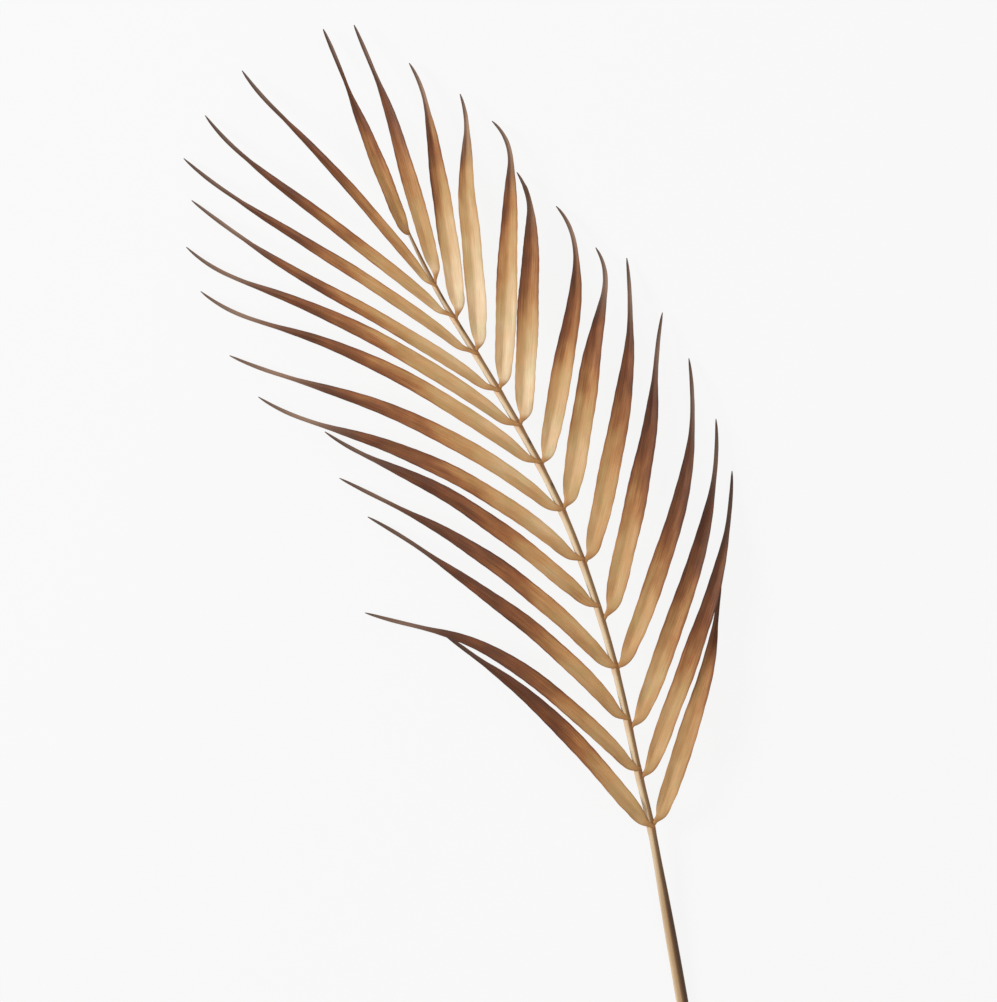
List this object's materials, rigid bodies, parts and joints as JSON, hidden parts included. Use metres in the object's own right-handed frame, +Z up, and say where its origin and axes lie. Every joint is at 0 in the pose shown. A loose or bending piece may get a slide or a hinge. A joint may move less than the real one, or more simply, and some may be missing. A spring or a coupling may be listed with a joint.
{
  "type": "dried palm leaf",
  "caption": "Dried feather-shaped palm leaf with a long bare stalk and drooping, folded leaflets; lies face up as loose decorative foliage.",
  "frame": {"origin": "Middle of the leaf's footprint, on the surface that the leaf lies on.", "axes": "+Y runs from the cut end of the stalk to the tip of the leaf, +X to the right-hand leaflets as seen from above, +Z up from the surface through the face of the leaf."},
  "size_m": [0.3312, 0.8266, 0.0395],
  "materials": {
    "dry_leaf": "matte"
  },
  "bodies": {
    "root": {"frond": "dry_leaf"}
  },
  "joints": []
}
